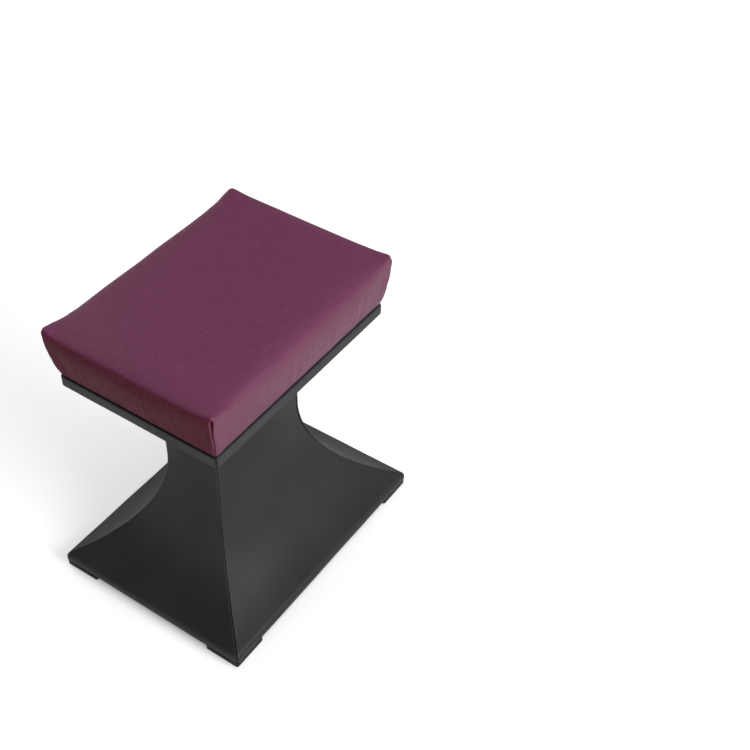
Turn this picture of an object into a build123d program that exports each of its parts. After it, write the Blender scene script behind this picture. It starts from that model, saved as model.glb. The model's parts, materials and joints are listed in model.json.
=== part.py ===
from build123d import *

import os
from math import cos, radians, sqrt

# Shoe fitting stool: a box cushion on a leather-covered hourglass pedestal.
# Frame: origin on the floor under the centre, +X along the long side, +Y to the back,
# +Z up. Units are millimetres.

# ---- Pedestal, measured over its leather ----
waist_length = 191.0
waist_width = 89.5
waist_run = 19.0  # upright stretch of the waist, between the two flares
top_flare = 87.0  # the deck stands out this far past the waist, on every side
top_flare_height = 132.0
base_flare = 119.0  # the base stands out this far past the waist, on every side
base_flare_height = 190.5
base_border = 14.5  # upright edge of the base
deck_rim = 19.0  # upright edge of the deck under the cushion
rim_radius = 6.0
border_radius = 5.0
least_radius = 1.0  # a corner that would be tighter than this stays sharp

# ---- Layers of the pedestal, from the outside in ----
leather = 1.2
underlay = 3.0  # foam sheet between the leather and the plywood
skin = 4.0  # bending plywood
seam_gap = 0.2  # between two sheets where they meet at a hip
deck_margin = 30.0  # leather turned over the top of the deck
margin_past_foot = 5.0  # leather turned under the base runs this far past the feet

# ---- Timber frame ----
deck_thickness = 18.0
base_thickness = 12.0
former = 12.0  # thickness of the formers and the hip ribs
former_setback = 8.0  # from the skin to the formers' outer faces, at the waist
slot_play = 0.2  # added to the width of a half-lap slot

# ---- Cushion ----
cushion_height = 79.0
cushion_setback = 0.5  # the cushion's bottom edge stands back this far from the deck's
cushion_lean = 7.2  # degrees that the sides lean out
cushion_corner = 8.0
cushion_top_radius = 7.5
cushion_foot_radius = 3.0
cover = 0.8
wadding = 4.0
seat_board_thickness = 12.0
cover_margin = 32.0  # cover turned under the seat board

# ---- Seat fixing: two bolts, driven from inside the pedestal ----
bolt_spacing = 96.0
bolt_diameter = 8.0
bolt_length = 32.0
bolt_head = 13.0  # across flats
bolt_head_height = 5.3
bolt_play = 0.5  # radial, in the deck board
thread_play = 0.1  # radial, in the tee nut
washer_diameter = 24.0
washer_thickness = 2.0
nut_flange = 22.0
nut_flange_thickness = 1.5
nut_barrel = 10.6
nut_length = 11.5
nut_play = 0.1  # radial, round the flange and the barrel
access_hole = 34.0  # in the base plate, for a socket on a long extension

# ---- Wood screws ----
screw_diameter = 4.0
screw_head = 8.0
screw_tip = 4.0
screw_play = 0.25  # radial, in the piece that is held
pilot_play = 0.05  # radial, in the piece that is screwed into
pilot_spare = 1.0  # pilot hole past the screw's tip
deck_screw_length = 45.0
base_screw_length = 40.0
foot_screw_length = 14.0
deck_screw_inset = 70.0  # from the deck's edge
base_screw_inset = 70.0  # from the base's edge

# ---- Feet and underside ----
foot_height = 7.5
foot_size = 58.0
foot_setback = 1.0  # from the edge of the base
foot_corner = 3.0
foot_chamfer = 1.0
foot_recess = 1.5  # depth of the screw's head above the floor
recess_play = 0.5
bottom_cloth_thickness = 0.6
cloth_inset = 10.0  # from the edge of the base
cloth_clearance = 2.0  # round the feet

# ---- Levels ----
waist_low = foot_height + base_border + base_flare_height
waist_high = waist_low + waist_run
deck_top = waist_high + top_flare_height + deck_rim
seat_top = deck_top + cushion_height
plate_low = foot_height + leather
plate_high = plate_low + base_thickness
board_high = deck_top - leather
board_low = board_high - deck_thickness
slot_level = (plate_high + board_low) / 2
seat_board_low = deck_top + cover
seat_board_high = seat_board_low + seat_board_thickness

# ---- Places in plan, in the quarter where X and Y are positive ----
half_waist = Vector(waist_length / 2, waist_width / 2)
half_deck = half_waist + Vector(top_flare, top_flare)
half_base = half_waist + Vector(base_flare, base_flare)
ply_inset = leather + underlay
frame_inset = ply_inset + skin
frame_depth = frame_inset + former_setback
former_face = half_waist - Vector(frame_depth, frame_depth)
former_line = former_face - Vector(former / 2, former / 2)
foot_depth = foot_setback + foot_size / 2
foot_place = half_base - Vector(foot_depth, foot_depth)
base_margin = foot_setback + foot_size + margin_past_foot
padded_inset = cover + wadding
past_all = half_base.X + half_base.Y  # longer than any piece reaches from the centre

# ---- Arcs of the two flares, upright at the waist ----
top_radius = (top_flare**2 + top_flare_height**2) / (2 * top_flare)
base_radius = (base_flare**2 + base_flare_height**2) / (2 * base_flare)

UP = Vector(0, 0, 1)
SIGNS = (-1, 1)
SIDES = {
    "front": Vector(0, -1, 0),
    "back": Vector(0, 1, 0),
    "left": Vector(-1, 0, 0),
    "right": Vector(1, 0, 0),
}
CORNERS = {
    "front_left": Vector(-1, -1, 0),
    "front_right": Vector(1, -1, 0),
    "back_left": Vector(-1, 1, 0),
    "back_right": Vector(1, 1, 0),
}


def four_ways(x, y, z=0):
    """The same point in all four quarters."""
    return [(sx * x, sy * y, z) for sx in SIGNS for sy in SIGNS]


def facing_down(points):
    """A plane at each point, looking down, for holes that are made from below."""
    return [Plane(point, z_dir=-UP) for point in points]


# ---- Shared shapes ----
def arc_rise(radius, flare, inset):
    """Height of a flare's arc where it meets the upright edge, both sunk by inset."""
    return sqrt((radius + inset) ** 2 - (radius - flare + inset) ** 2)


def soften(face, corner, radius):
    """Round the sketch's corner at a point, where the layer lies near enough to the outside."""
    if radius > least_radius:
        fillet(face.vertices().sort_by_distance(corner)[0], radius)


def side_section(waist, inset, cap):
    """Section of one side of the pedestal, from the centre line out.

    waist is half the waist across this section. The edge lies inset under the leather's
    surface at the side, and cap under it on the deck's top and the base's underside."""
    neck = waist - inset
    rim = neck + top_flare
    border = neck + base_flare
    top = deck_top - cap
    bottom = foot_height + cap
    rim_corner = (rim, waist_high + arc_rise(top_radius, top_flare, inset))
    border_corner = (border, waist_low - arc_rise(base_radius, base_flare, inset))
    with BuildSketch() as face:
        with BuildLine():
            Polyline((0, bottom), (0, top), (rim, top), rim_corner)
            TangentArc((neck, waist_high), rim_corner, tangent=(0, 1))
            Line((neck, waist_high), (neck, waist_low))
            TangentArc((neck, waist_low), border_corner, tangent=(0, -1))
            Polyline(border_corner, (border, bottom), (0, bottom))
        make_face()
        soften(face, (rim, top), rim_radius - cap)
        soften(face, rim_corner, rim_radius - inset)
        soften(face, border_corner, border_radius - inset)
        soften(face, (border, bottom), border_radius - cap)
    return face.sketch


def keep_levels(low, high):
    """Keep the part of the sketch between two levels."""
    with Locations((0, (low + high) / 2)):
        Rectangle(2 * past_all, high - low, mode=Mode.INTERSECT)


def full_section(waist, inset, low, high):
    """Section right across the pedestal under its coverings, between two levels."""
    with BuildSketch() as face:
        add(side_section(waist, inset, leather))
        mirror(about=Plane.YZ)
        keep_levels(low, high)
    return face.sketch


def inside_pedestal(inset, low, high):
    """Everything inside the pedestal's four sides, sunk by inset, between two levels."""
    with BuildPart() as block:
        with BuildSketch(Plane.XZ):
            add(full_section(half_waist.X, inset, low, high))
        extrude(amount=past_all, both=True)
        with BuildSketch(Plane.YZ):
            add(full_section(half_waist.Y, inset, low, high))
        extrude(amount=past_all, both=True, mode=Mode.INTERSECT)
    return block.part


def waist_across(outward):
    """Half the waist, measured along this direction."""
    return half_waist.X if outward.X else half_waist.Y


def side_plane(outward):
    """Upright plane through the centre whose x axis points out of one side."""
    return Plane((0, 0, 0), x_dir=outward, z_dir=outward.cross(UP))


def hip_planes(outward):
    """The two upright planes that mitre one side's sheet, facing the sheet."""
    along = outward.cross(UP)
    planes = []
    for sign in SIGNS:
        corner = outward * waist_across(outward) + along * (sign * waist_across(along))
        facing = (outward - along * sign).normalized()
        planes.append(Plane(corner + facing * (seam_gap / 2), z_dir=facing))
    return planes


def bend_sheet(outward):
    """Run the pending section along one side and mitre it at both hips."""
    extrude(amount=past_all, both=True)
    for hip in hip_planes(outward):
        split(bisect_by=hip, keep=Keep.TOP)


def cushion_form(inset, low, foot_radius=0.0):
    """The cushion's outer form from a level up, sunk by inset at the sides and the top."""
    sunk = cushion_setback + inset / cos(radians(cushion_lean))
    with BuildPart() as form:
        with BuildSketch(Plane.XY.offset(deck_top)):
            Rectangle(2 * (half_deck.X - sunk), 2 * (half_deck.Y - sunk))
        extrude(amount=cushion_height, taper=-cushion_lean)
        split(bisect_by=Plane.XY.offset(seat_top - inset), keep=Keep.BOTTOM)
        corners = form.edges().filter_by(lambda edge: abs(edge.tangent_at(0).Z) > 0.5)
        fillet(corners, cushion_corner - inset)
        fillet(form.faces().sort_by(Axis.Z)[-1].edges(), cushion_top_radius - inset)
        split(bisect_by=Plane.XY.offset(low), keep=Keep.TOP)
        if foot_radius:
            fillet(form.faces().sort_by(Axis.Z)[0].edges(), foot_radius)
    return form.part


def wood_screw(length):
    """A countersunk wood screw, point down, with its head's top at the origin."""
    shank = screw_diameter / 2
    head = screw_head / 2
    with BuildPart() as screw:
        with BuildSketch(Plane.XZ):
            with BuildLine():
                Polyline((0, 0), (head, 0), (shank, shank - head), (shank, screw_tip - length))
                Polyline((shank, screw_tip - length), (0, -length), (0, 0))
            make_face()
        revolve(axis=Axis.Z)
    return screw.part


def countersunk_hole(depth):
    """A clearance hole, sunk for the screw's head so that it seats flush."""
    CounterSinkHole(screw_diameter / 2 + screw_play, screw_head / 2, depth, counter_sink_angle=90)


def pilot_hole(screw_length, passed):
    """A hole for the rest of a screw that has passed through other pieces."""
    Hole(screw_diameter / 2 + pilot_play, screw_length - passed + pilot_spare)


def save(piece, label):
    """Label one finished piece and write it to a STEP file of its own."""
    piece.part.label = label
    export_step(piece.part, f"parts/{label}.step")


os.makedirs("parts", exist_ok=True)

# The deck is screwed to the long formers and the base to the cross formers, whose half-laps
# hold the long ones down.
deck_screw_heads = four_ways(half_deck.X - deck_screw_inset, former_line.Y, board_high)
base_screw_heads = four_ways(former_line.X, half_base.Y - base_screw_inset, plate_low)
foot_screw_heads = four_ways(foot_place.X, foot_place.Y, foot_recess)
bolt_axes = [(-bolt_spacing / 2, 0), (bolt_spacing / 2, 0)]

# ---- Deck board and base plate ----
with BuildPart() as deck_board:
    add(inside_pedestal(ply_inset, board_low, board_high))
    with Locations(*deck_screw_heads):
        countersunk_hole(deck_thickness)
    with Locations(*[(x, y, board_high) for x, y in bolt_axes]):
        Hole(bolt_diameter / 2 + bolt_play, deck_thickness)
save(deck_board, "deck_board")

with BuildPart() as base_plate:
    add(inside_pedestal(ply_inset, plate_low, plate_high))
    with Locations(*facing_down(base_screw_heads)):
        countersunk_hole(base_thickness)
    with Locations(*facing_down(four_ways(foot_place.X, foot_place.Y, plate_low))):
        pilot_hole(foot_screw_length, plate_low - foot_recess)
    with Locations(*[(x, y, plate_high) for x, y in bolt_axes]):
        Hole(access_hole / 2, base_thickness)
save(base_plate, "base_plate")


# ---- Formers, half-lapped into each other round a hollow middle ----
for side, y in (("front", -former_line.Y), ("back", former_line.Y)):
    with BuildPart() as long_former:
        with BuildSketch(Plane((0, y, 0), x_dir=(1, 0, 0), z_dir=(0, -1, 0))):
            add(full_section(half_waist.X, frame_inset, plate_high, board_low))
            with Locations((-former_line.X, slot_level), (former_line.X, slot_level)):
                Rectangle(former + slot_play, board_low, align=(Align.CENTER, Align.MIN), mode=Mode.SUBTRACT)
        extrude(amount=former / 2, both=True)
        with Locations(*[(x, y, board_low) for x, _, _ in deck_screw_heads]):
            pilot_hole(deck_screw_length, deck_thickness)
    save(long_former, f"{side}_long_former")

for side, x in (("left", -former_line.X), ("right", former_line.X)):
    with BuildPart() as cross_former:
        with BuildSketch(Plane((x, 0, 0), x_dir=(0, 1, 0), z_dir=(1, 0, 0))):
            add(full_section(half_waist.Y, frame_inset, plate_high, board_low))
            with Locations((-former_line.Y, slot_level), (former_line.Y, slot_level)):
                Rectangle(former + slot_play, board_low, align=(Align.CENTER, Align.MAX), mode=Mode.SUBTRACT)
        extrude(amount=former / 2, both=True)
        with Locations(*facing_down([(x, y, plate_high) for _, y, _ in base_screw_heads])):
            pilot_hole(base_screw_length, base_thickness)
    save(cross_former, f"{side}_cross_former")

# ---- Hip ribs, under the seams, with a notched end seated on the formers ----
for corner, quarter in CORNERS.items():
    root = Vector(quarter.X * former_face.X, quarter.Y * former_face.Y, 0)
    with BuildPart() as hip_rib:
        with BuildSketch(Plane(root, x_dir=quarter, z_dir=quarter.cross(UP))):
            with Locations((0, plate_high)):
                Rectangle(past_all, board_low - plate_high, align=Align.MIN)
        extrude(amount=former / 2, both=True)
        add(inside_pedestal(frame_inset, plate_high, board_low), mode=Mode.INTERSECT)
        with BuildSketch(Plane.XY.offset(plate_high)):
            with Locations(root + quarter * (past_all / 2)):
                Rectangle(past_all, past_all)
        extrude(amount=board_low - plate_high, mode=Mode.INTERSECT)
    save(hip_rib, f"{corner}_hip_rib")

# ---- The four sides: plywood skin, foam underlay and leather, mitred at the hips ----
for side, outward in SIDES.items():
    waist = waist_across(outward)
    with BuildPart() as side_skin:
        with BuildSketch(side_plane(outward)):
            add(side_section(waist, ply_inset, leather))
            add(side_section(waist, frame_inset, leather), mode=Mode.SUBTRACT)
            keep_levels(plate_high, board_low)
        bend_sheet(outward)
    save(side_skin, f"{side}_skin")

    with BuildPart() as side_underlay:
        with BuildSketch(side_plane(outward)):
            add(side_section(waist, leather, leather))
            add(side_section(waist, ply_inset, leather), mode=Mode.SUBTRACT)
        bend_sheet(outward)
    save(side_underlay, f"{side}_underlay")

    deck_opening = waist + top_flare - deck_margin
    base_opening = waist + base_flare - base_margin
    with BuildPart() as side_leather:
        with BuildSketch(side_plane(outward)):
            add(side_section(waist, 0, 0))
            add(side_section(waist, leather, leather), mode=Mode.SUBTRACT)
            with Locations((0, deck_top)):
                Rectangle(deck_opening, 2 * leather, align=(Align.MIN, Align.CENTER), mode=Mode.SUBTRACT)
            with Locations((0, foot_height)):
                Rectangle(base_opening, 2 * leather, align=(Align.MIN, Align.CENTER), mode=Mode.SUBTRACT)
        bend_sheet(outward)
        with Locations(*four_ways(foot_place.X, foot_place.Y, plate_low)):
            Hole(screw_diameter / 2 + screw_play, leather)
    save(side_leather, f"{side}_leather")

# ---- Cushion ----
with BuildPart() as seat_board:
    add(cushion_form(padded_inset, seat_board_low))
    split(bisect_by=Plane.XY.offset(seat_board_high), keep=Keep.BOTTOM)
    with Locations(*[(x, y, seat_board_high) for x, y in bolt_axes]):
        CounterBoreHole(
            nut_barrel / 2 + nut_play, nut_flange / 2 + nut_play, nut_flange_thickness, seat_board_thickness
        )
save(seat_board, "seat_board")

with BuildPart() as seat_foam:
    add(cushion_form(padded_inset, seat_board_high))
save(seat_foam, "seat_foam")

with BuildPart() as seat_wadding:
    add(cushion_form(cover, seat_board_low, cushion_foot_radius - cover))
    add(cushion_form(padded_inset, seat_board_low), mode=Mode.SUBTRACT)
save(seat_wadding, "seat_wadding")

with BuildPart() as seat_cover:
    add(cushion_form(0, deck_top, cushion_foot_radius))
    add(cushion_form(cover, seat_board_low, cushion_foot_radius - cover), mode=Mode.SUBTRACT)
    with BuildSketch(Plane.XY.offset(deck_top)):
        turned = cushion_setback + cover_margin
        Rectangle(2 * (half_deck.X - turned), 2 * (half_deck.Y - turned))
    extrude(amount=cover, mode=Mode.SUBTRACT)
save(seat_cover, "seat_cover")

# ---- Seat fixing ----
with BuildPart() as seat_tee_nuts:
    with Locations(*[(x, y, seat_board_high) for x, y in bolt_axes]):
        Cylinder(nut_flange / 2, nut_flange_thickness, align=(Align.CENTER, Align.CENTER, Align.MAX))
        Cylinder(nut_barrel / 2, nut_length, align=(Align.CENTER, Align.CENTER, Align.MAX))
        Hole(bolt_diameter / 2 + thread_play, nut_length)
save(seat_tee_nuts, "seat_tee_nuts")

with BuildPart() as seat_washers:
    with BuildSketch(Plane.XY.offset(board_low - washer_thickness)):
        with Locations(*bolt_axes):
            Circle(washer_diameter / 2)
            Circle(bolt_diameter / 2 + bolt_play, mode=Mode.SUBTRACT)
    extrude(amount=washer_thickness)
save(seat_washers, "seat_washers")

with BuildPart() as seat_bolts:
    with BuildSketch(Plane.XY.offset(board_low - washer_thickness)):
        with Locations(*bolt_axes):
            RegularPolygon(bolt_head / 2, 6, major_radius=False)
    extrude(amount=-bolt_head_height)
    with BuildSketch(Plane.XY.offset(board_low - washer_thickness)):
        with Locations(*bolt_axes):
            Circle(bolt_diameter / 2)
    extrude(amount=bolt_length)
save(seat_bolts, "seat_bolts")

# ---- Wood screws ----
with BuildPart() as deck_screws:
    with Locations(*deck_screw_heads):
        add(wood_screw(deck_screw_length))
save(deck_screws, "deck_screws")

with BuildPart() as base_screws:
    with Locations(*facing_down(base_screw_heads)):
        add(wood_screw(base_screw_length))
save(base_screws, "base_screws")

with BuildPart() as foot_screws:
    with Locations(*facing_down(foot_screw_heads)):
        add(wood_screw(foot_screw_length))
save(foot_screws, "foot_screws")

# ---- Underside ----
with BuildPart() as bottom_cloth:
    with BuildSketch(Plane.XY.offset(foot_height - bottom_cloth_thickness)):
        Rectangle(2 * (half_base.X - cloth_inset), 2 * (half_base.Y - cloth_inset))
        with Locations(*four_ways(foot_place.X, foot_place.Y)):
            Rectangle(foot_size + 2 * cloth_clearance, foot_size + 2 * cloth_clearance, mode=Mode.SUBTRACT)
    extrude(amount=bottom_cloth_thickness)
save(bottom_cloth, "bottom_cloth")

for corner, quarter in CORNERS.items():
    x = quarter.X * foot_place.X
    y = quarter.Y * foot_place.Y
    with BuildPart() as foot:
        with BuildSketch():
            with Locations((x, y)):
                RectangleRounded(foot_size, foot_size, foot_corner)
        extrude(amount=foot_height)
        chamfer(foot.faces().sort_by(Axis.Z)[0].edges(), foot_chamfer)
        with Locations(Plane((x, y, 0), z_dir=-UP)):
            Hole(screw_head / 2 + recess_play, foot_recess)
        with Locations(Plane((x, y, foot_recess), z_dir=-UP)):
            countersunk_hole(foot_height - foot_recess)
    save(foot, f"{corner}_foot")
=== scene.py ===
import json
from math import atan2, cos, exp, hypot, pi, radians, sin

import bmesh
import bpy
from mathutils import Matrix, Vector, noise


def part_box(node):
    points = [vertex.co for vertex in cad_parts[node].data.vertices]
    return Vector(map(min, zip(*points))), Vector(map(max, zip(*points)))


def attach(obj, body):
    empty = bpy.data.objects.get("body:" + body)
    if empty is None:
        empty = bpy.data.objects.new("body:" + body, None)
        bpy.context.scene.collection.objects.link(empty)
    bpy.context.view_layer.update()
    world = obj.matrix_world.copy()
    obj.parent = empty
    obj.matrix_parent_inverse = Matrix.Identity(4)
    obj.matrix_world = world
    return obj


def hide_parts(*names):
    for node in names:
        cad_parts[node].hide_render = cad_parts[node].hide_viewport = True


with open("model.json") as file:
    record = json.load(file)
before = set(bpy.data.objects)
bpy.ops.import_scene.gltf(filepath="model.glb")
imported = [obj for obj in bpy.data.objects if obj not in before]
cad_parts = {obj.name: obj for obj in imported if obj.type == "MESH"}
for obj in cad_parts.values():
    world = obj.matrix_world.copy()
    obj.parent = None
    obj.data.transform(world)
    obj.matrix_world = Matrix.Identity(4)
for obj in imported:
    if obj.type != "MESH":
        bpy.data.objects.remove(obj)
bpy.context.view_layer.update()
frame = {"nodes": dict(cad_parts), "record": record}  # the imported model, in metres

scene = bpy.context.scene

# ---- Sizes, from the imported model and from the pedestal's own curve ----
front_low, front_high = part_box("front_leather")
left_low, left_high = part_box("left_leather")
leather = 0.0012  # thickness
foot_height = front_low.z
deck_top = front_high.z
half_base = Vector((-left_low.x, -front_low.y))
half_waist = Vector((leather - left_high.x, leather - front_high.y))
base_flare = half_base.x - half_waist.x
top_flare = 0.087
top_flare_height = 0.132
waist_run = 0.019
deck_rim = 0.019
base_border = 0.0145
rim_radius = 0.006  # of the bend from the flare into the deck's rim
crest_radius = 0.0024  # of the fold over the deck's top edge
border_radius = 0.005  # of the fold under the base
border_fold = 0.009  # of the bend from the flare into the base's border
deck_margin = 0.030  # leather turned over the top of the deck
base_margin = 0.064  # leather turned under the base
rim_low = deck_top - deck_rim
waist_high = rim_low - top_flare_height
waist_low = waist_high - waist_run
border_high = foot_height + base_border
half_deck = half_waist + Vector((top_flare, top_flare))

seat_low, seat_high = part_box("seat_cover")
seat_top = seat_high.z
seat_setback = 0.0005  # the cushion's bottom edge stands back this far from the deck's
seat_lean = radians(7.2)  # how far the cushion's sides lean out
same_place = 1e-6  # points nearer than this lie together


# ---- Selecting and shaping ----
def select_only(piece):
    """Deselect everything, then make one piece selected and active."""
    bpy.ops.object.select_all(action="DESELECT")
    piece.select_set(True)
    bpy.context.view_layer.objects.active = piece


def edit(piece, kind="EDGE"):
    """Open one piece in edit mode with nothing selected."""
    select_only(piece)
    bpy.ops.object.mode_set(mode="EDIT")
    bpy.ops.mesh.select_mode(type=kind)
    bpy.ops.mesh.select_all(action="DESELECT")


def pick(piece, kind, test):
    """In edit mode, select only the vertices, edges or faces that pass a test."""
    bpy.ops.mesh.select_all(action="DESELECT")
    mesh = bmesh.from_edit_mesh(piece.data)
    for part in getattr(mesh, kind):
        part.select = test(part)
    mesh.select_flush_mode()
    bmesh.update_edit_mesh(piece.data)


def close_edit():
    """Go back to object mode."""
    bpy.ops.object.mode_set(mode="OBJECT")


def named(name):
    """Name the piece that an operator has just added."""
    piece = bpy.context.object
    piece.name = name
    piece.data.name = name
    return piece


def settle(piece):
    """Put the piece's place, turn and size into its mesh."""
    select_only(piece)
    bpy.ops.object.transform_apply(location=True, rotation=True, scale=True)


def apply_modifiers(piece):
    """Apply every modifier on a piece, from the first to the last."""
    select_only(piece)
    for modifier in list(piece.modifiers):
        bpy.ops.object.modifier_apply(modifier=modifier.name)


def smooth_shade(piece):
    """Shade the whole piece smooth."""
    select_only(piece)
    bpy.ops.object.shade_smooth()


def smooth_step(low, high, value):
    """Rise smoothly from 0 at low to 1 at high."""
    t = min(1.0, max(0.0, (value - low) / (high - low)))
    return t * t * (3 - 2 * t)


# ---- Leather sides ----
flare_steps = 26
column_cuts = 51
seam_columns = (0.0, 0.0003, 0.0007, 0.0012, 0.0018, 0.0026, 0.0036, 0.005, 0.0068, 0.009, 0.012)
hip_round = 0.0022  # radius of the hips in plan
edge_round = 0.0042  # of the deck's and the base's corners in plan
seam_depth = 0.0022
seam_width = 0.0015  # half of the valley
waist_drift = 0.0042  # how far the seam lies off the hip at the waist, on the long side
rim_drift = 0.0004  # and at the deck's rim, on the short side
pucker_length = 0.011  # along the seam
pucker_reach = 0.006  # away from the seam
pucker_height = 0.00022
slack_size = 0.055  # the leather's slow unevenness
slack_height = 0.00035
leather_shading = radians(60)  # sharper edges are shaded sharp


def flare_angle(flare, height):
    """Radius and angle of the arc that leaves the waist upright."""
    radius = (flare**2 + height**2) / (2 * flare)
    return radius, atan2(height, radius - flare)


def upright_strip(name, distance, half_length):
    """The upright run of the waist, long enough for the base."""
    reach = 2 * (half_length + base_flare)
    middle = (0, -distance, (waist_low + waist_high) / 2)
    bpy.ops.mesh.primitive_plane_add(size=1, location=middle, rotation=(pi / 2, 0, 0))
    strip = named(name)
    strip.scale = (reach, waist_run, 1)
    settle(strip)
    return strip


def bend_flare(strip, level, distance, flare, height, turn):
    """Spin the strip's edge at a level out along the flare's arc."""
    radius, angle = flare_angle(flare, height)
    pick(strip, "edges", lambda edge: all(abs(v.co.z - level) < same_place for v in edge.verts))
    bpy.ops.mesh.spin(
        steps=flare_steps,
        angle=-turn * angle,
        center=(0, -distance - radius, level),
        axis=(1, 0, 0),
    )


def carry_on(move, steps):
    """Extrude the selected edge along a line, in equal steps."""
    part = Vector(move) / steps
    for _ in range(steps):
        bpy.ops.mesh.extrude_edges_move(TRANSFORM_OT_translate={"value": part})


def round_bend(strip, level, y, radius, turn):
    """Round the fold at a level to a radius; turn is how far the surface turns there."""
    near = 10 * same_place

    def on_fold(edge):
        return all(abs(v.co.z - level) < near and abs(v.co.y - y) < near for v in edge.verts)

    pick(strip, "edges", on_fold)
    bpy.ops.mesh.bevel(offset=radius * sin(turn / 2) / cos(turn / 2), segments=5, affect="EDGES")


def mitre(strip, distance, half_length):
    """Cut the strip off at both hips."""
    for sign in (-1, 1):
        corner = (sign * half_length, -distance, 0)
        bpy.ops.mesh.select_all(action="SELECT")
        bpy.ops.mesh.bisect(plane_co=corner, plane_no=(sign, 1, 0), clear_outer=True)


def cut_columns(strip):
    """Divide every cross-wise edge, so that the columns fan out from hip to hip."""

    def runs_across(edge):
        return (edge.verts[0].co - edge.verts[1].co).yz.length < same_place

    pick(strip, "edges", runs_across)
    bpy.ops.mesh.subdivide(number_cuts=column_cuts)


def corner_round(z):
    """Radius in plan of the hips at a level: larger at the deck's rim and the base's border."""
    rim = smooth_step(rim_low - 0.012, rim_low + 0.004, z)
    border = 1 - smooth_step(border_high - 0.002, border_high + 0.014, z)
    return hip_round + (edge_round - hip_round) * max(rim, border)


def seam_drift(z):
    """How far the seam lies off the hip at a level, towards the short side."""
    above_base = smooth_step(border_high + 0.05, waist_low, z)
    near_rim = smooth_step(waist_high + 0.03, rim_low, z)
    return (rim_drift + waist_drift) * near_rim - waist_drift * above_base


def round_the_hip(u, radius):
    """Distance in from the other side's plane and from this side's own, and the turn, for a point
    that lies u along the surface from the middle of the rounded corner."""
    half = radius * pi / 4
    if u > half:
        return radius + u - half, 0.0, 0.0
    if u < -half:
        return 0.0, radius - half - u, pi / 2
    angle = (half - u) / radius
    return radius - radius * sin(angle), radius - radius * cos(angle), angle


def distance_from_seam(x, half_row):
    """Where a point's column belongs: the columns stand closer together near the seam."""
    columns = (column_cuts + 1) // 2
    fixed = len(seam_columns) - 1
    column = round((1 - abs(x) / half_row) * columns)
    if column <= fixed:
        return seam_columns[column]
    share = (column - fixed) / (columns - fixed)
    return seam_columns[-1] + share * (half_row - seam_columns[-1])


def leather_relief(place, from_seam, side):
    """How far the leather stands out: puckers at the seam, slow slack, and the seam's valley.
    The numbers in side give each side a place of its own in the noise."""
    valley = seam_depth * max(0.0, 1 - from_seam / seam_width) ** 2
    pucker = pucker_height * noise.noise(Vector((side.x, place.z / pucker_length, 0)))
    pucker *= exp(-from_seam / pucker_reach) * smooth_step(0.0, 0.002, from_seam)
    slack = slack_height * noise.noise((place + Vector((0, 0, side.y))) / slack_size)
    return pucker + slack - valley


def finish_side(strip, distance, half_length, long_side):
    """Space the columns, round the hips, roll the edges into the seams and pucker them."""
    normals = [vertex.normal.copy() for vertex in strip.data.vertices]
    for vertex, normal in zip(strip.data.vertices, normals):
        x, y, z = vertex.co
        half_row = half_length - distance - y
        sign = 1 if x > 0 else -1
        from_seam = distance_from_seam(x, half_row)
        drift = seam_drift(z) * (1 if long_side else -1)
        fade = 1 - smooth_step(0.012, 0.05, from_seam)
        across, inward, angle = round_the_hip(from_seam - drift * fade, corner_round(z))
        place = Vector((sign * (half_row - across), y + inward, z))
        outward = Vector((sign * sin(angle), -cos(angle), 0)) * abs(normal.y)
        outward.z = normal.z
        outward.normalize()
        side = Vector((sign * distance + (3 if long_side else 7), distance * 9))
        vertex.co = place + outward * leather_relief(place, from_seam, side)


def side_leather(name, distance, half_length, long_side):
    """One side's leather: upright waist, two flares, rounded rim and border, margins turned in."""
    strip = upright_strip(name, distance, half_length)
    top_height = rim_low - waist_high
    base_height = waist_low - border_high
    _, top_turn = flare_angle(top_flare, top_height)
    _, base_turn = flare_angle(base_flare, base_height)
    edit(strip)
    bend_flare(strip, waist_high, distance, top_flare, top_height, 1)
    carry_on((0, 0, deck_rim), 4)
    carry_on((0, deck_margin, 0), 4)
    bend_flare(strip, waist_low, distance, base_flare, base_height, -1)
    carry_on((0, 0, -base_border), 3)
    carry_on((0, base_margin, 0), 5)
    round_bend(strip, rim_low, -distance - top_flare, rim_radius, top_turn)
    round_bend(strip, deck_top, -distance - top_flare, crest_radius, pi / 2)
    round_bend(strip, border_high, -distance - base_flare, border_fold, base_turn)
    round_bend(strip, foot_height, -distance - base_flare, border_radius, pi / 2)
    mitre(strip, distance, half_length)
    cut_columns(strip)
    bpy.ops.mesh.select_all(action="SELECT")
    bpy.ops.mesh.remove_doubles(threshold=same_place)
    bpy.ops.mesh.normals_make_consistent(inside=False)
    close_edit()
    return strip


def face_outwards(piece):
    """Turn a sheet's faces over if its front looks inwards."""

    def from_waist(face):
        return abs(face.center.x) + abs(face.center.z - waist_low)

    middle = min(piece.data.polygons, key=from_waist)
    if middle.normal.y > 0:
        piece.data.flip_normals()


def make_side(name, distance, half_length, long_side, turned):
    """One finished side, made as the front is and turned to its place."""
    strip = side_leather(name, distance, half_length, long_side)
    face_outwards(strip)
    finish_side(strip, distance, half_length, long_side)
    thicken = strip.modifiers.new("thickness", "SOLIDIFY")
    thicken.thickness = leather
    thicken.offset = -1
    apply_modifiers(strip)
    strip.rotation_euler = (0, 0, turned)
    settle(strip)
    select_only(strip)
    bpy.ops.object.shade_smooth_by_angle(angle=leather_shading)
    return strip


leather_sides = {
    "front": make_side("front_side", half_waist.y, half_waist.x, True, 0),
    "right": make_side("right_side", half_waist.x, half_waist.y, False, pi / 2),
    "back": make_side("back_side", half_waist.y, half_waist.x, True, pi),
    "left": make_side("left_side", half_waist.x, half_waist.y, False, -pi / 2),
}


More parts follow.
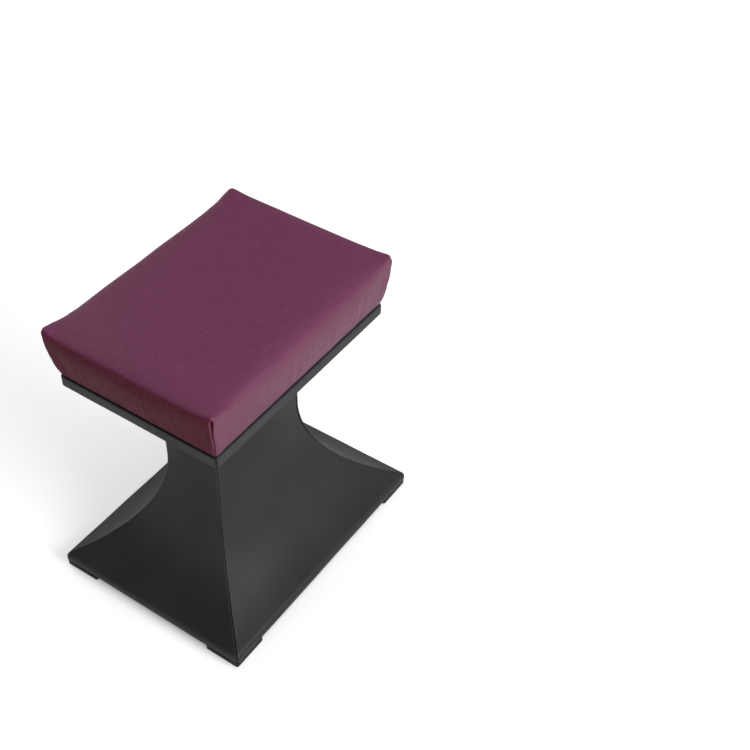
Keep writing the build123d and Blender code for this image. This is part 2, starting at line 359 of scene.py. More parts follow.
# ---- Cushion ----
cushion_voxel = 0.004
block_spread = Vector((0.004, 0.0))  # how far the block's top stands past the finished size
corner_bevel = 0.006
top_bevel = 0.004
foot_bevel = 0.0048
crown_height = 0.003
crown_fullness = 0.7  # the smaller, the flatter the middle of the top
cloth_frames = 20
cloth_pressure = 4
swell_cap = 0.0035
shrink_cap = 0.0008  # the foam's edges keep the cover from rounding off further
slide_share = 0.5  # of the cover's sideways slide
held_ear = 0.011  # the cover is held still this near an ear
staple_band = 0.004  # and below this height
edge_band = 0.035  # the long top edges are rounded over this width
edge_drop = 0.03  # and this far down the side
edge_passes = (0.022, 0.030, 0.040, 0.055)  # each pass keeps this far from the cushion's ends
edge_rounds = 8  # of smoothing in each pass
ear_lift = 0.0045
ear_tuck = 0.0018
ear_reach = 0.017
ear_sharpness = 1.5
corner_fill = 0.00238
corner_width = 0.013
flat_facing = -0.9995  # of the underside's normals, or further down
flat_height = 0.0003
merge_angle = radians(2)
fine_band = 0.009  # the mesh is finer this far to each side of an upright corner
fine_skin = 0.008  # this far into it
fine_rise = 0.004  # this far above the ear
fine_drop = 0.071  # and this far below
pleat_band = 0.03  # the pleats reach this far to each side
pleat_skin = 0.012
pleat_rise = 0.002
pleat_offset = 0.0016  # from the corner's middle, on the short side
pleat_wander = 0.0012
pleat_wave = 0.012  # one swing of the wander takes 2 pi times this
dart_length = 0.021
dart_depth = 0.0042
dart_width = 0.0012
fold_depth = 0.0008
fold_width = 0.0008
lip_height = 0.0009
lip_width = 0.0018
lip_offset = 2.4  # in widths of the crease
lap_height = 0.0007
lap_width = 0.012
lap_edge = 0.0012
gather_width = 0.013  # of the puckers over the foot
gather_rise = 0.16
gather_depth = 0.0011
wrinkle_width = 0.006  # of the finer ones among them
wrinkle_rise = 0.12
wrinkle_depth = 0.0004
lump_size = 0.05
lump_height = 0.0005


def seat_half(z):
    """Half of the cushion's length and width at a level, to its sharp corners."""
    out = (z - seat_low.z) * sin(seat_lean) / cos(seat_lean) - seat_setback
    return half_deck + Vector((out, out))


def tapered_block():
    """The foam block, leaning out, with rounded edges."""
    low_half = seat_half(seat_low.z)
    high_half = seat_half(seat_top) + block_spread
    middle = (seat_low.z + seat_top) / 2
    bpy.ops.mesh.primitive_cube_add(size=1, location=(0, 0, middle))
    block = named("seat_cushion")
    block.scale = (2 * low_half.x, 2 * low_half.y, seat_top - seat_low.z)
    settle(block)
    edit(block, "VERT")
    pick(block, "verts", lambda vert: vert.co.z > middle)
    bpy.ops.transform.resize(value=(high_half.x / low_half.x, high_half.y / low_half.y, 1))
    bpy.ops.mesh.select_mode(type="EDGE")
    pick(block, "edges", lambda edge: abs(edge.verts[0].co.z - edge.verts[1].co.z) > 0.01)
    bpy.ops.mesh.bevel(offset=corner_bevel, segments=4, affect="EDGES")
    pick(block, "edges", lambda edge: all(v.co.z > seat_top - 0.001 for v in edge.verts))
    bpy.ops.mesh.bevel(offset=top_bevel, segments=4, affect="EDGES")
    pick(block, "edges", lambda edge: all(v.co.z < seat_low.z + 0.001 for v in edge.verts))
    bpy.ops.mesh.bevel(offset=foot_bevel, segments=3, affect="EDGES")
    close_edit()
    return block


def crown(block):
    """The foam is a little higher in the middle of the top than along its edges."""
    tip = seat_half(seat_top)
    for vertex in block.data.vertices:
        share = (1 - (vertex.co.x / tip.x) ** 2) * (1 - (vertex.co.y / tip.y) ** 2)
        up = smooth_step(seat_low.z, seat_top, vertex.co.z)
        vertex.co.z += crown_height * max(0.0, share) ** crown_fullness * up


def pinned_points(block):
    """The cover's foot, where it is stapled, and its four top corners."""
    group = block.vertex_groups.new(name="held")
    tip = seat_half(seat_top)
    for vertex in block.data.vertices:
        x, y, z = vertex.co
        from_ear = hypot(abs(x) - tip.x, abs(y) - tip.y, z - seat_top)
        if z < seat_low.z + staple_band or from_ear < held_ear:
            group.add([vertex.index], 1.0, "REPLACE")
    return group.name


def swell(block):
    """Blow the cover up with cloth pressure, held at its foot and its corners."""
    start = [vertex.co.copy() for vertex in block.data.vertices]
    normals = [vertex.normal.copy() for vertex in block.data.vertices]
    cloth = block.modifiers.new("cloth", "CLOTH")
    cloth.settings.quality = 6
    cloth.settings.mass = 0.25
    cloth.settings.tension_stiffness = 20
    cloth.settings.compression_stiffness = 20
    cloth.settings.shear_stiffness = 8
    cloth.settings.bending_stiffness = 3
    cloth.settings.use_pressure = True
    cloth.settings.uniform_pressure_force = cloth_pressure
    cloth.settings.vertex_group_mass = pinned_points(block)
    cloth.settings.effector_weights.gravity = 0
    cloth.collision_settings.use_collision = False
    for frame_number in range(1, cloth_frames + 1):
        scene.frame_set(frame_number)
    apply_modifiers(block)
    scene.frame_set(1)
    for vertex, before, normal in zip(block.data.vertices, start, normals):
        moved = vertex.co - before
        outward = moved.dot(normal)
        kept = min(max(outward, -shrink_cap), swell_cap)
        vertex.co = before + normal * kept + (moved - normal * outward) * slide_share


def soften_mesh(block, rounds):
    """Relax the mesh evenly above the stapled foot."""
    edit(block, "VERT")
    pick(block, "verts", lambda vert: vert.co.z > seat_low.z + staple_band)
    bpy.ops.mesh.vertices_smooth(factor=0.5, repeat=rounds)
    close_edit()


def round_long_edges(block):
    """The cover lies rounder along the two long top edges, more so away from the ears."""
    half = seat_half(seat_top)
    edit(block, "VERT")
    for from_end in edge_passes:

        def along_edge(vert):
            x, y, z = (abs(part) for part in vert.co)
            return z > seat_top - edge_drop and y > half.y - edge_band and x < half.x - from_end

        pick(block, "verts", along_edge)
        bpy.ops.mesh.vertices_smooth(factor=0.5, repeat=edge_rounds)
    close_edit()


def pull_ears(block):
    """Lift the four top corners of the cover to soft points, tucked in a little."""
    for sx in (-1, 1):
        for sy in (-1, 1):
            outward = Vector((sx, sy, 0.7)).normalized()
            tip = max(block.data.vertices, key=lambda vertex: vertex.co.dot(outward)).co.copy()
            pull = Vector((-ear_tuck * sx, 0, ear_lift))
            for vertex in block.data.vertices:
                near = (vertex.co - tip).length
                vertex.co += pull * exp(-((near / ear_reach) ** ear_sharpness))


def fill_corners(block):
    """The foam stands out behind the four upright corners, between the ears and the foot."""
    for vertex in block.data.vertices:
        x, y, z = vertex.co
        half = seat_half(z)
        near = hypot(half.x - abs(x), half.y - abs(y))
        up = (z - seat_low.z) / (seat_top - seat_low.z)
        swollen = corner_fill * sin(pi * min(1.0, max(0.0, up)))
        swollen *= exp(-((near / corner_width) ** 2))
        vertex.co += Vector((1 if x > 0 else -1, 1 if y > 0 else -1, 0)) * swollen


def corner_place(point):
    """Which way a point lies round its nearest upright corner (positive on the short side),
    how far it lies in from the nearer side, and how far under the ear."""
    half = seat_half(point.z)
    on_short = half.y - abs(point.y)
    on_long = half.x - abs(point.x)
    return on_short - on_long, min(on_short, on_long), seat_top - point.z


def merge_underside(block):
    """The flat underside rests on the deck, so it needs few faces."""
    edit(block, "FACE")

    def on_underside(face):
        low = face.calc_center_median().z < seat_low.z + flat_height
        return low and face.normal.z < flat_facing

    pick(block, "faces", on_underside)
    bpy.ops.mesh.dissolve_limited(angle_limit=merge_angle)
    close_edit()


def refine_corners(block):
    """Finer mesh along the four upright corners, for the pleats."""
    edit(block, "FACE")

    def near_corner(face):
        around, inside, below = corner_place(face.calc_center_median())
        return inside < fine_skin and abs(around) < fine_band and -fine_rise < below < fine_drop

    pick(block, "faces", near_corner)
    bpy.ops.mesh.subdivide(number_cuts=3, smoothness=0.0)
    close_edit()


def pleat_relief(around, below):
    """How far the cover stands out beside a pleat: its crease, the lips and the lapped cloth."""
    middle = pleat_offset + pleat_wander * sin(below / pleat_wave)
    opening = smooth_step(0.0, 0.005, below) * exp(-((below / dart_length) ** 2))
    width = fold_width + dart_width * opening
    depth = dart_depth * opening + fold_depth * smooth_step(0.0, 0.01, below)
    crease = depth * exp(-(((around - middle) / width) ** 2))
    from_lip = abs(around - middle) - lip_offset * width
    lip = lip_height * opening * exp(-((from_lip / lip_width) ** 2))
    if around >= middle:
        return lip - crease
    lap = lap_height * smooth_step(0.0, 0.006, below) * smooth_step(middle, middle - lap_edge, around)
    lap *= exp(-(((middle - around) / lap_width) ** 2))
    return lip + lap - crease


def fold_pleats(block):
    """The cover's spare cloth, folded in at each upright corner: a dart that opens under the
    ear and closes to a lapped edge on the way down."""
    normals = [vertex.normal.copy() for vertex in block.data.vertices]
    for vertex, normal in zip(block.data.vertices, normals):
        around, inside, below = corner_place(vertex.co)
        if inside < pleat_skin and abs(around) <= pleat_band and below >= -pleat_rise:
            vertex.co += normal * pleat_relief(around, below)


def side_noise(normal):
    """A different place in the noise for each of the four sides."""
    if abs(normal.y) > abs(normal.x):
        return 7.0 if normal.y > 0 else 5.0
    return 13.0 if normal.x > 0 else 11.0


def pull_puckers(block):
    """Soft upright puckers that rise from the stapled foot, and a faint unevenness."""
    normals = [vertex.normal.copy() for vertex in block.data.vertices]
    for vertex, normal in zip(block.data.vertices, normals):
        x, y, z = vertex.co
        flat = Vector((normal.x, normal.y, 0)).length
        up = (z - seat_low.z) / (seat_top - seat_low.z)
        run = x if abs(normal.y) > abs(normal.x) else y
        side = side_noise(normal)
        gather = noise.noise(Vector((run / gather_width, side, z / gather_rise)))
        wrinkle = noise.noise(Vector((run / wrinkle_width, side + 30, z / wrinkle_rise)))
        fade = smooth_step(0.0, 0.12, up) * (1 - smooth_step(0.35, 1.0, up))
        pucker = flat * fade * (gather_depth * gather + wrinkle_depth * wrinkle)
        lump = lump_height * noise.noise(vertex.co / lump_size) * smooth_step(0.02, 0.15, up)
        vertex.co += normal * (pucker + lump)


def lay_weave(block):
    """UVs in metres that follow the cloth's threads over the top and down each side."""
    block.data.uv_layers.new(name="weave")
    threads = block.data.uv_layers["weave"].data
    for face in block.data.polygons:
        nx, ny, nz = (abs(part) for part in face.normal)
        for loop in face.loop_indices:
            x, y, z = block.data.vertices[block.data.loops[loop].vertex_index].co
            drop = seat_top - z
            if nz >= max(nx, ny):
                threads[loop].uv = (x, y)
            elif ny >= nx:
                threads[loop].uv = (x, (half_deck.y + drop) * (1 if y > 0 else -1))
            else:
                threads[loop].uv = ((half_deck.x + drop) * (1 if x > 0 else -1), y)


def make_cushion():
    """The whole cushion, from its foam block to the folds of its cover."""
    block = tapered_block()
    remesh = block.modifiers.new("remesh", "REMESH")
    remesh.mode = "VOXEL"
    remesh.voxel_size = cushion_voxel
    apply_modifiers(block)
    crown(block)
    swell(block)
    soften_mesh(block, 2)
    round_long_edges(block)
    fill_corners(block)
    pull_ears(block)
    smoother = block.modifiers.new("smoother", "SUBSURF")
    smoother.levels = smoother.render_levels = 1
    apply_modifiers(block)
    merge_underside(block)
    refine_corners(block)
    pull_puckers(block)
    fold_pleats(block)
    lay_weave(block)
    smooth_shade(block)
    return block


seat_cushion = make_cushion()


# ---- Cloth under the base ----
cloth_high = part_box("bottom_cloth")[1]
foot_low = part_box("back_right_foot")[0]
foot_clearance = 0.002
cloth_middle = Vector((foot_low.x - foot_clearance, foot_low.y - foot_clearance))
cloth_cuts = 35
cloth_thickness = 0.0005
cloth_sag = 0.0016
sag_reach = 0.1  # the cloth hangs its full depth this far in from its edge
hem_width = 0.009
hem_drop = 0.0003
pull_depth = 0.0007
pull_reach = 0.05
pull_count = 9  # sets how many pulls there are round the cloth


def add_wing(cloth, axis, sign):
    """Extrude one edge of the cloth's middle out to the edge of the base."""
    across = 1 - axis

    def at_end(vert):
        on_line = abs(vert.co[axis] - sign * cloth_middle[axis]) < same_place
        return on_line and abs(vert.co[across]) < cloth_middle[across] + same_place

    pick(cloth, "edges", lambda edge: all(at_end(vert) for vert in edge.verts))
    move = [0, 0, 0]
    move[axis] = sign * (cloth_high[axis] - cloth_middle[axis])
    bpy.ops.mesh.extrude_edges_move(TRANSFORM_OT_translate={"value": move})


def cloth_shape():
    """A flat cross: the middle of the base, and a wing to each side between the feet."""
    bpy.ops.mesh.primitive_plane_add(size=2, location=(0, 0, cloth_high.z - cloth_thickness))
    cloth = named("dust_cover")
    cloth.scale = (cloth_middle.x, cloth_middle.y, 1)
    settle(cloth)
    edit(cloth)
    for axis in (0, 1):
        for sign in (-1, 1):
            add_wing(cloth, axis, sign)
    bpy.ops.mesh.select_all(action="SELECT")
    bpy.ops.mesh.subdivide(number_cuts=cloth_cuts)
    bpy.ops.mesh.normals_make_consistent(inside=False)
    close_edit()
    return cloth


def from_edge(x, y):
    """Distance in from the nearest edge of the cloth."""
    to_foot = hypot(max(0.0, cloth_middle.x - abs(x)), max(0.0, cloth_middle.y - abs(y)))
    return max(0.0, min(cloth_high.x - abs(x), cloth_high.y - abs(y), to_foot))


def sag_cloth(cloth):
    """The cloth hangs a little between its fixings, with shallow pulls in from the edges."""
    for vertex in cloth.data.vertices:
        x, y, _ = vertex.co
        inside = from_edge(x, y)
        hang = cloth_sag * smooth_step(0.0, sag_reach, inside)
        around = atan2(y, x)
        pull = noise.noise(Vector((sin(around) * pull_count, cos(around) * pull_count, 3.0)))
        pull *= pull_depth * smooth_step(0.004, 0.02, inside) * exp(-inside / pull_reach)
        hem = hem_drop * (1 - smooth_step(hem_width - 0.001, hem_width, inside))
        vertex.co.z -= hang + abs(pull) + hem


def make_dust_cover():
    """The thin black cloth that closes the base."""
    cloth = cloth_shape()
    sag_cloth(cloth)
    thicken = cloth.modifiers.new("thickness", "SOLIDIFY")
    thicken.thickness = cloth_thickness
    thicken.offset = 0
    apply_modifiers(cloth)
    smooth_shade(cloth)
    return cloth


dust_cover = make_dust_cover()


# ---- Materials ----
def fill_socket(tree, socket, value):
    """Feed an input from another node's socket, or give it a plain value."""
    if isinstance(value, bpy.types.NodeSocket):
        tree.links.new(value, socket)
    else:
        socket.default_value = value


def add_node(tree, kind, inputs=None, **settings):
    """Add a node; inputs holds plain values and the sockets that feed it."""
    made = tree.nodes.new(kind)
    for key, value in settings.items():
        setattr(made, key, value)
    for label, value in (inputs or {}).items():
        fill_socket(tree, made.inputs[label], value)
    return made


def calculate(tree, operation, first, second=0.0):
    """One sum on one or two numbers."""
    return add_node(tree, "ShaderNodeMath", {0: first, 1: second}, operation=operation).outputs[0]


def span(tree, value, low, high, out_low=0.0, out_high=1.0):
    """Map a range of values to another, and clamp it."""
    inputs = {"Value": value, "From Min": low, "From Max": high}
    inputs.update({"To Min": out_low, "To Max": out_high})
    return add_node(tree, "ShaderNodeMapRange", inputs).outputs["Result"]


def noise_of(tree, vector, scale, detail=2.0, roughness=0.5):
    """Noise at a scale, as one number."""
    inputs = {"Vector": vector, "Scale": scale, "Detail": detail, "Roughness": roughness}
    return add_node(tree, "ShaderNodeTexNoise", inputs).outputs["Fac"]


def stretched(tree, vector, scale):
    """The vector, scaled differently along each axis."""
    return add_node(tree, "ShaderNodeMapping", {"Vector": vector, "Scale": scale}).outputs["Vector"]


def turned_vector(tree, vector, turn, kind="POINT"):
    """The vector, turned by an angle round each axis."""
    inputs = {"Vector": vector, "Rotation": turn}
    return add_node(tree, "ShaderNodeMapping", inputs, vector_type=kind).outputs["Vector"]


def axes_of(tree, vector):
    """The vector's parts along X, Y and Z."""
    return add_node(tree, "ShaderNodeSeparateXYZ", {"Vector": vector}).outputs


def blend_colours(tree, share, first, second):
    """Mix two colours, each of them three numbers or a socket."""
    made = add_node(tree, "ShaderNodeMix", {"Factor": share}, data_type="RGBA")
    colour_inputs = [socket for socket in made.inputs if socket.type == "RGBA"]
    for socket, value in zip(colour_inputs, (first, second)):
        fill_socket(tree, socket, (*value, 1.0) if isinstance(value, tuple) else value)
    return [socket for socket in made.outputs if socket.type == "RGBA"][0]


def new_group(name, inputs, outputs):
    """An empty shader group with number or vector inputs and number outputs."""
    group = bpy.data.node_groups.new(name, "ShaderNodeTree")
    for label, value in inputs.items():
        kind = "NodeSocketVector" if label == "Vector" else "NodeSocketFloat"
        socket = group.interface.new_socket(label, in_out="INPUT", socket_type=kind)
        if value is not None:
            socket.default_value = value
    for label in outputs:
        group.interface.new_socket(label, in_out="OUTPUT", socket_type="NodeSocketFloat")
    given = group.nodes.new("NodeGroupInput").outputs
    result = group.nodes.new("NodeGroupOutput").inputs
    return group, given, result


def feed(group, outputs, **values):
    """Link the values to a group's outputs."""
    for label, value in values.items():
        group.links.new(value, outputs[label])


def slub_weave_group():
    """Fine plain weave with slubs: thick places that run along the threads both ways."""
    inputs = {"Vector": None, "Thread": 0.0005}
    group, given, result = new_group("slub_weave", inputs, ("Height", "Slub", "Tone"))
    vector = given["Vector"]
    parts = axes_of(group, vector)
    turns = calculate(group, "DIVIDE", 2 * pi, given["Thread"])
    warp = calculate(group, "SINE", calculate(group, "MULTIPLY", parts["X"], turns))
    weft = calculate(group, "SINE", calculate(group, "MULTIPLY", parts["Y"], turns))
    weave = calculate(group, "MULTIPLY", warp, weft)
    along = noise_of(group, stretched(group, vector, (45, 1300, 1)), 1.0, 2.0)
    across = noise_of(group, stretched(group, vector, (1300, 45, 1)), 1.0, 2.0)
    slub_along = span(group, along, 0.60, 0.74)
    slub_across = span(group, across, 0.63, 0.78, 0.0, 0.7)
    slub = calculate(group, "MAXIMUM", slub_along, slub_across)
    streaks = calculate(group, "ADD", along, across)
    height = calculate(group, "ADD", calculate(group, "MULTIPLY", weave, 0.25), slub)
    height = calculate(group, "ADD", height, calculate(group, "MULTIPLY", streaks, 0.6))
    feed(group, result, Height=height, Slub=slub, Tone=span(group, streaks, 0.7, 1.3))
    return group


def hide_grain_group():
    """Fine leather grain: small pebbles in creases, with a slow change of tone."""
    inputs = {"Vector": None, "Pebble": 0.0011}
    group, given, result = new_group("hide_grain", inputs, ("Height", "Tone"))
    vector = given["Vector"]
    scale = calculate(group, "DIVIDE", 1.0, given["Pebble"])
    cells = {"Vector": vector, "Scale": scale}
    pebbles = add_node(group, "ShaderNodeTexVoronoi", cells, feature="SMOOTH_F1")
    fine = noise_of(group, vector, 2600.0, 3.0)
    creases = calculate(group, "MULTIPLY", pebbles.outputs["Distance"], -0.8)
    pores = calculate(group, "MULTIPLY", fine, 0.4)
    height = calculate(group, "ADD", creases, pores)
    tone = noise_of(group, vector, 14.0, 3.0)
    feed(group, result, Height=height, Tone=span(group, tone, 0.3, 0.7))
    return group


def handling_group():
    """Where a surface is a little duller from handling and dust."""
    inputs = {"Vector": None, "Spread": 30.0}
    group, given, result = new_group("handling", inputs, ("Dull", "Specks"))
    vector = given["Vector"]
    cloudy = noise_of(group, vector, given["Spread"], 4.0, 0.6)
    specks = noise_of(group, vector, 900.0, 1.0)
    feed(group, result, Dull=span(group, cloudy, 0.35, 0.7), Specks=span(group, specks, 0.72, 0.8))
    return group


def ply_group():
    """Birch plywood: face grain along X, and layers through the thickness along Z."""
    inputs = {"Vector": None, "Layer": 0.0015}
    group, given, result = new_group("ply_grain", inputs, ("Grain", "Layers"))
    vector = given["Vector"]
    grain = noise_of(group, stretched(group, vector, (9, 160, 160)), 1.0, 5.0, 0.65)
    parts = axes_of(group, vector)
    turns = calculate(group, "DIVIDE", pi, given["Layer"])
    layers = calculate(group, "SINE", calculate(group, "MULTIPLY", parts["Z"], turns))
    feed(group, result, Grain=span(group, grain, 0.35, 0.7), Layers=span(group, layers, -0.3, 0.3))
    return group


slub_weave = slub_weave_group()
hide_grain = hide_grain_group()
handling = handling_group()
ply_grain = ply_group()


def place_group(tree, group, inputs):
    """Put a shared group into a material."""
    return add_node(tree, "ShaderNodeGroup", inputs, node_tree=group).outputs


def new_material(name, constants):
    """A material with its Principled shader's constant inputs set."""
    material = bpy.data.materials.new(name)
    material.use_nodes = True
    tree = material.node_tree
    shader = tree.nodes["Principled BSDF"]
    for label, value in constants.items():
        shader.inputs[label].default_value = value
    return material, tree, shader


def object_place(tree):
    """The place on the piece, in metres."""
    return add_node(tree, "ShaderNodeTexCoord").outputs["Object"]


def connect(tree, shader, colour, roughness, height, depth):
    """Feed the shader a colour, a roughness unless it is None, and a bump of a depth in metres."""
    tree.links.new(colour, shader.inputs["Base Color"])
    if roughness is not None:
        tree.links.new(roughness, shader.inputs["Roughness"])
    bump = add_node(tree, "ShaderNodeBump", {"Height": height, "Strength": 1.0, "Distance": depth})
    tree.links.new(bump.outputs["Normal"], shader.inputs["Normal"])


def slub_satin():
    """Plum silk satin: soft sheen, fine streaks and slubs along both threads, and a warmer painted
    shade on the two short ends.
    """
    sheen = {"Sheen Weight": 0.05, "Sheen Roughness": 0.3, "Sheen Tint": (0.95, 0.6, 0.85, 1)}
    material, tree, shader = new_material("plum_satin", sheen)
    threads = add_node(tree, "ShaderNodeUVMap", uv_map="weave").outputs["UV"]
    weave = place_group(tree, slub_weave, {"Vector": threads, "Thread": 0.0006})
    worn = place_group(tree, handling, {"Vector": object_place(tree), "Spread": 11.0})
    facing = axes_of(tree, add_node(tree, "ShaderNodeTexCoord").outputs["Normal"])
    on_ends = span(tree, calculate(tree, "ABSOLUTE", facing["X"]), 0.6, 0.9)
    on_sides = span(tree, calculate(tree, "ABSOLUTE", facing["Y"]), 0.2, 0.95)
    over = blend_colours(tree, weave["Tone"], (0.127, 0.0262, 0.064), (0.178, 0.0398, 0.098))
    # painted shade: the two short ends get a warmer, less blue copy of the satin's colour, standing
    # in for the dim warm light on the sides turned away from the key light
    ends = blend_colours(tree, weave["Tone"], (0.124, 0.0230, 0.043), (0.176, 0.0362, 0.067))
    ground = blend_colours(tree, on_ends, over, ends)
    colour = blend_colours(tree, weave["Slub"], ground, (0.178, 0.048, 0.110))
    roughness = span(tree, worn["Dull"], 0.0, 1.0, 0.42, 0.50)
    end_shine = span(tree, on_ends, 0.0, 1.0, 0.22, 0.03)
    side_shine = span(tree, on_sides, 0.0, 1.0, 0.0, 0.15)
    shine = calculate(tree, "ADD", end_shine, side_shine)
    tree.links.new(shine, shader.inputs["Specular IOR Level"])
    connect(tree, shader, colour, roughness, weave["Height"], 0.0001)
    return material


def black_hide():
    """Black upholstery leather, semi-matt, with a fine grain."""
    material, tree, shader = new_material("black_hide", {"Specular IOR Level": 0.42})
    place = object_place(tree)
    grain = place_group(tree, hide_grain, {"Vector": place, "Pebble": 0.0012})
    worn = place_group(tree, handling, {"Vector": place, "Spread": 9.0})
    colour = blend_colours(tree, grain["Tone"], (0.0115, 0.0118, 0.0142), (0.0172, 0.0178, 0.0212))
    roughness = span(tree, worn["Dull"], 0.0, 1.0, 0.44, 0.54)
    connect(tree, shader, colour, roughness, grain["Height"], 0.00009)
    return material


def moulded_pad():
    """Matt black moulded rubber-plastic."""
    material, tree, shader = new_material("moulded_pad", {"Specular IOR Level": 0.4})
    place = object_place(tree)
    worn = place_group(tree, handling, {"Vector": place, "Spread": 45.0})
    colour = blend_colours(tree, worn["Dull"], (0.010, 0.010, 0.011), (0.022, 0.022, 0.022))
    roughness = span(tree, worn["Dull"], 0.0, 1.0, 0.55, 0.7)
    connect(tree, shader, colour, roughness, noise_of(tree, place, 1400.0, 2.0), 0.00006)
    return material


def plywood(name, turn, layer, light, dark):
    """Plywood; the turn brings its thickness round to Z."""
    material, tree, shader = new_material(name, {"Specular IOR Level": 0.3})
    place = turned_vector(tree, object_place(tree), turn)
    grain = place_group(tree, ply_grain, {"Vector": place, "Layer": layer})
    face = blend_colours(tree, grain["Grain"], light, dark)
    darker = tuple(0.72 * part for part in dark)
    normal = add_node(tree, "ShaderNodeNewGeometry").outputs["Normal"]
    facing = axes_of(tree, turned_vector(tree, normal, turn, "NORMAL"))
    on_face = calculate(tree, "ABSOLUTE", facing["Z"])
    banded = calculate(tree, "MULTIPLY", grain["Layers"], span(tree, on_face, 0.5, 0.2))
    colour = blend_colours(tree, banded, face, darker)
    roughness = span(tree, grain["Grain"], 0.0, 1.0, 0.6, 0.75)
    connect(tree, shader, colour, roughness, grain["Grain"], 0.00008)
    return material


def soft_foam():
    """Open-cell foam, pale yellow."""
    dull = {"Specular IOR Level": 0.2, "Roughness": 0.95}
    material, tree, shader = new_material("soft_foam", dull)
    place = object_place(tree)
    pores = {"Vector": place, "Scale": 1100.0}
    cells = add_node(tree, "ShaderNodeTexVoronoi", pores).outputs["Distance"]
    tone = noise_of(tree, place, 20.0, 3.0)
    shade = blend_colours(tree, tone, (0.76, 0.68, 0.40), (0.84, 0.78, 0.52))
    colour = blend_colours(tree, span(tree, cells, 0.25, 0.5, 0.0, 0.35), shade, (0.45, 0.38, 0.2))
    connect(tree, shader, colour, None, cells, 0.0003)
    return material


def soft_wadding():
    """White polyester wadding: tangled fibres."""
    material, tree, shader = new_material("soft_wadding", {"Roughness": 0.95, "Sheen Weight": 0.4})
    place = object_place(tree)
    fibres = noise_of(tree, stretched(tree, place, (1.0, 0.35, 1.0)), 380.0, 6.0, 0.7)
    colour = blend_colours(tree, fibres, (0.72, 0.72, 0.70), (0.93, 0.93, 0.91))
    connect(tree, shader, colour, None, fibres, 0.0006)
    return material


def zinc_plate():
    """Bright zinc plating, brushed along no one way, with dull patches."""
    material, tree, shader = new_material("zinc_plate", {"Metallic": 1.0})
    place = object_place(tree)
    worn = place_group(tree, handling, {"Vector": place, "Spread": 120.0})
    colour = blend_colours(tree, worn["Dull"], (0.62, 0.64, 0.66), (0.46, 0.47, 0.47))
    roughness = span(tree, worn["Dull"], 0.0, 1.0, 0.28, 0.5)
    connect(tree, shader, colour, roughness, noise_of(tree, place, 1800.0, 2.0), 0.00003)
    return material


def dust_cloth():
    """Black non-woven cloth: matted fibres with a grid of tiny bonding points."""
    material, tree, shader = new_material("dust_cloth", {"Roughness": 0.9, "Sheen Weight": 0.2})
    place = object_place(tree)
    fibres = noise_of(tree, place, 700.0, 5.0, 0.7)
    grid = {"Vector": place, "Scale": 600.0, "Randomness": 0.1}
    points = add_node(tree, "ShaderNodeTexVoronoi", grid).outputs["Distance"]
    bonded = span(tree, points, 0.2, 0.35)
    colour = blend_colours(tree, fibres, (0.008, 0.008, 0.008), (0.035, 0.035, 0.036))
    height = calculate(tree, "ADD", fibres, bonded)
    connect(tree, shader, colour, None, height, 0.0001)
    return material


birch = ((0.72, 0.54, 0.33), (0.56, 0.39, 0.21))
pale_ply = ((0.70, 0.50, 0.30), (0.52, 0.34, 0.18))
satin = slub_satin()
hide = black_hide()
board_ply = plywood("board_ply", (0, 0, 0), 0.0015, *birch)
long_former_ply = plywood("long_former_ply", (pi / 2, 0, 0), 0.0015, *birch)
cross_former_ply = plywood("cross_former_ply", (0, pi / 2, 0), 0.0015, *birch)
bending_ply = plywood("bending_ply", (pi / 2, 0, 0), 0.0013, *pale_ply)
foam = soft_foam()
wadding = soft_wadding()
zinc = zinc_plate()
pad = moulded_pad()
non_woven = dust_cloth()

finishes = {
    "leather": hide,
    "silk": satin,
    "plywood": board_ply,
    "bending_plywood": bending_ply,
    "foam": foam,
    "wadding": wadding,
    "zinc_steel": zinc,
    "pad": pad,
    "cloth": non_woven,
}


def set_material(piece, material):
    """Give a piece one material."""
    piece.data.materials.clear()
    piece.data.materials.append(material)


for part in frame["record"]["subparts"]:
    set_material(frame["nodes"][part["node"]], finishes[part["material_slot"]])
for end in ("front", "back"):
    set_material(frame["nodes"][f"{end}_long_former"], long_former_ply)
for end in ("left", "right"):
    set_material(frame["nodes"][f"{end}_cross_former"], cross_former_ply)
for piece in leather_sides.values():
    set_material(piece, hide)
set_material(seat_cushion, satin)
set_material(dust_cover, non_woven)

# ---- Camera ----
view_target = Vector((0.193365, -0.115017, 0.227))
view_azimuth = -0.9911  # angles in radians
view_elevation = 0.7555
view_roll = 0.0234
view_distance = 1.8898
view_lens = 60.74


def set_camera():
    """Look at the target from the front left and above, a little rolled."""
    out = cos(view_elevation)
    back = Vector((sin(view_azimuth) * out, -cos(view_azimuth) * out, sin(view_elevation)))
    level = Vector((cos(view_azimuth), sin(view_azimuth), 0))
    upright = back.cross(level)
    right = level * cos(view_roll) + upright * sin(view_roll)
    up = back.cross(right)
    bpy.ops.object.camera_add(location=view_target + back * view_distance)
    camera = named("camera")
    camera.rotation_euler = Matrix((right, up, back)).transposed().to_euler()
    camera.data.lens = view_lens
    camera.data.sensor_width = 36
    camera.data.clip_start = 0.05
    scene.camera = camera


set_camera()


# ---- Stage ----
light_target = Vector((0, 0, 0.25))


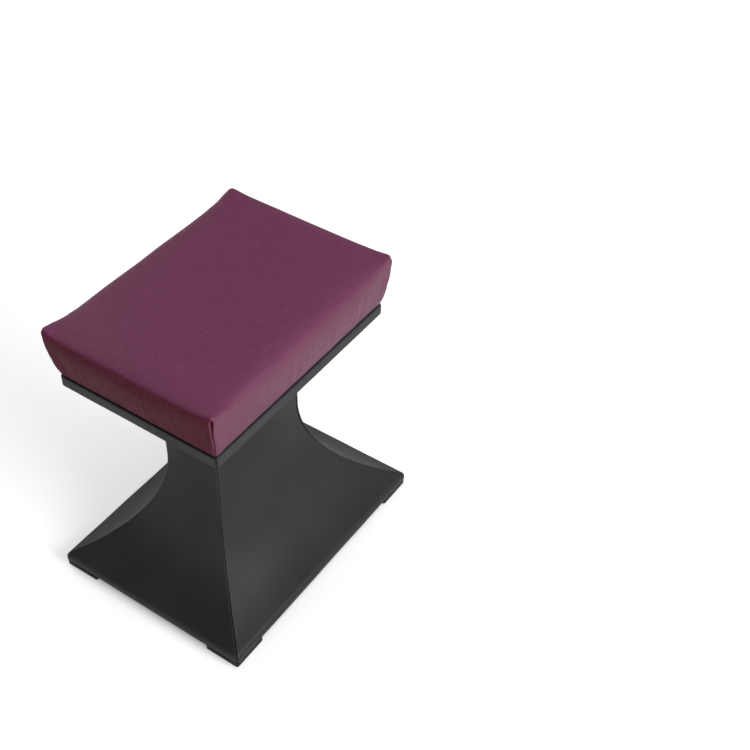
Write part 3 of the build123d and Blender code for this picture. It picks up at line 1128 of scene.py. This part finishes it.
def make_floor():
    """White paper to the camera; the light that it throws back on the stool is held down."""
    bpy.ops.mesh.primitive_plane_add(size=14, location=(0, 0, 0))
    floor = named("floor")
    matt = {"Roughness": 0.9, "Specular IOR Level": 0.1}
    material, tree, shader = new_material("pale_floor", matt)
    path = add_node(tree, "ShaderNodeLightPath").outputs
    colour = blend_colours(tree, path["Is Diffuse Ray"], (0.95, 0.95, 0.95), (0.66, 0.58, 0.50))
    tree.links.new(colour, shader.inputs["Base Color"])
    glow = calculate(tree, "MULTIPLY", path["Is Camera Ray"], 0.34)
    tree.links.new(glow, shader.inputs["Emission Strength"])
    shader.inputs["Emission Color"].default_value = (1, 1, 1, 1)
    floor.data.materials.append(material)


def soft_light(name, place, size, watts, colour):
    """A square softbox that faces the stool."""
    bpy.ops.object.light_add(type="AREA", location=place)
    light = named(name)
    light.data.shape = "SQUARE"
    light.data.size = size
    light.data.energy = watts
    light.data.color = colour
    facing = light_target - Vector(place)
    light.rotation_euler = facing.to_track_quat("-Z", "Y").to_euler()
    return light


make_floor()
soft_light("key_softbox", (0.0, -3.0, 1.7), 1.6, 84, (0.97, 0.98, 1.0))
soft_light("top_softbox", (0.4, -0.4, 3.4), 3.2, 36, (0.99, 0.98, 1.0))
soft_light("back_softbox", (0.8, 2.8, 1.7), 1.6, 16, (1.0, 0.97, 0.98))
back_fill = soft_light("back_fill", (0.8, 2.8, 1.7), 1.6, 22, (1.0, 0.97, 0.98))
back_fill.visible_glossy = False  # lights the far faces without a shine along their edges
soft_light("right_softbox", (2.8, 0.4, 1.5), 1.6, 6, (0.9, 0.97, 1.0))
soft_light("left_softbox", (-2.4, 0.8, 0.55), 1.0, 4, (1.0, 0.98, 0.96))
world = bpy.data.worlds.new("studio")
scene.world = world
world.use_nodes = True
world.node_tree.nodes["Background"].inputs["Color"].default_value = (1.0, 0.98, 0.94, 1)
world.node_tree.nodes["Background"].inputs["Strength"].default_value = 0.15
scene.view_settings.view_transform = "Standard"

# ---- Declarations ----
for side, piece in leather_sides.items():
    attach(piece, "root")
    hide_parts(f"{side}_leather", f"{side}_underlay")
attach(seat_cushion, "root")
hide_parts("seat_cover", "seat_wadding", "seat_foam")
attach(dust_cover, "root")
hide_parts("bottom_cloth")
